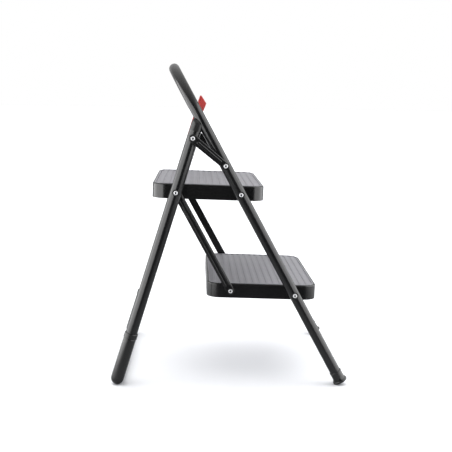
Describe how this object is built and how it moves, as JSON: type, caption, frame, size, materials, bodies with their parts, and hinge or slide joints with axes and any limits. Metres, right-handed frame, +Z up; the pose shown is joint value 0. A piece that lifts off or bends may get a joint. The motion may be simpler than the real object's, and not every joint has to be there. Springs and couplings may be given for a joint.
{
  "type": "folding step stool",
  "caption": "Folding two-step stool with a hand hoop: tube frames, ribbed mats on pressed treads, flat links and a latch lever.",
  "frame": {"origin": "on the floor, at the middle of the opened stool's bounding box", "axes": "+X towards the front, where a user climbs on; +Y to the stool's left; +Z up"},
  "size_m": [0.5817, 0.482, 0.781],
  "materials": {
    "black_powder_coat": "satin black powder coat",
    "grey_mat": "matt moulded grey",
    "black_rubber": "matt moulded black",
    "black_plastic": "moulded black",
    "red_plastic": "moulded red",
    "bright_steel": "bright zinc plate",
    "spring_steel": "drawn spring wire"
  },
  "bodies": {
    "front_frame": {"front_frame_tube": "black_powder_coat", "front_cross_bar": "black_powder_coat", "front_foot_left": "black_rubber", "front_foot_right": "black_rubber", "front_rivet_washers": "black_plastic", "step_bushes": "black_plastic", "front_link_spacers": "black_plastic", "top_front_rivets": "bright_steel", "lower_front_rivets": "bright_steel", "link_front_rivets": "bright_steel", "link_front_washers": "black_plastic", "latch_spring": "spring_steel"},
    "top_step": {"top_step_pan": "black_powder_coat", "top_step_mat": "grey_mat", "top_step_stiffener": "black_powder_coat", "top_link_washers": "black_plastic", "top_rear_rivets": "bright_steel"},
    "lower_step": {"lower_step_pan": "black_powder_coat", "lower_step_mat": "grey_mat", "lower_step_stiffener": "black_powder_coat", "lower_link_washers": "black_plastic", "lower_rear_rivets": "bright_steel", "lower_rear_washers": "black_plastic"},
    "lower_links": {"lower_link_left": "black_powder_coat", "lower_link_right": "black_powder_coat"},
    "rear_frame": {"rear_frame_tube": "black_powder_coat", "rear_cross_rod": "black_powder_coat", "rear_shoe_left": "black_rubber", "rear_shoe_right": "black_rubber", "rear_saddle_left": "black_plastic", "rear_saddle_right": "black_plastic", "rear_link_spacers": "black_plastic", "rear_rivet_washers": "black_plastic", "rear_step_spacers": "black_plastic"},
    "upper_links": {"upper_link_left": "black_powder_coat", "upper_link_right": "black_powder_coat", "link_rear_rivets": "bright_steel", "link_rear_washers": "black_plastic"},
    "latch": {"latch_lever": "red_plastic"}
  },
  "joints": [
    {"name": "fold", "type": "hinge", "parent": "front_frame", "child": "top_step", "pos_m": [0.01652, 0, 0.4706], "axis": [0, -1, 0], "range_deg": [0, 108]},
    {"name": "lower_step_fold", "type": "hinge", "parent": "front_frame", "child": "lower_step", "pos_m": [0.15083, 0, 0.2263], "axis": [0, -1, 0], "range_deg": [0, 108]},
    {"name": "lower_link_fold", "type": "hinge", "parent": "top_step", "child": "lower_links", "pos_m": [-0.13843, 0, 0.47439], "axis": [0, -1, 0], "range_deg": [-108, 0]},
    {"name": "rear_frame_fold", "type": "hinge", "parent": "top_step", "child": "rear_frame", "pos_m": [-0.13843, 0, 0.47439], "axis": [0, -1, 0], "range_deg": [-62.68, 0]},
    {"name": "upper_link_fold", "type": "hinge", "parent": "front_frame", "child": "upper_links", "pos_m": [-0.0212, 0, 0.53921], "axis": [0, -1, 0], "range_deg": [0, 139.9]},
    {"name": "latch_release", "type": "hinge", "parent": "front_frame", "child": "latch", "pos_m": [-0.08609, 0, 0.65725], "axis": [0, 1, 0], "range_deg": [0, 20], "stiffness_Nm_per_rad": 0.3, "springref_deg": -20.05}
  ],
  "couplings": [
    {"joint": "lower_step_fold", "follows": "fold", "ratio": 1},
    {"joint": "lower_link_fold", "follows": "fold", "ratio": -1},
    {"joint": "rear_frame_fold", "follows": "fold", "ratio": -0.58035},
    {"joint": "upper_link_fold", "follows": "fold", "ratio": 1.2953}
  ]
}
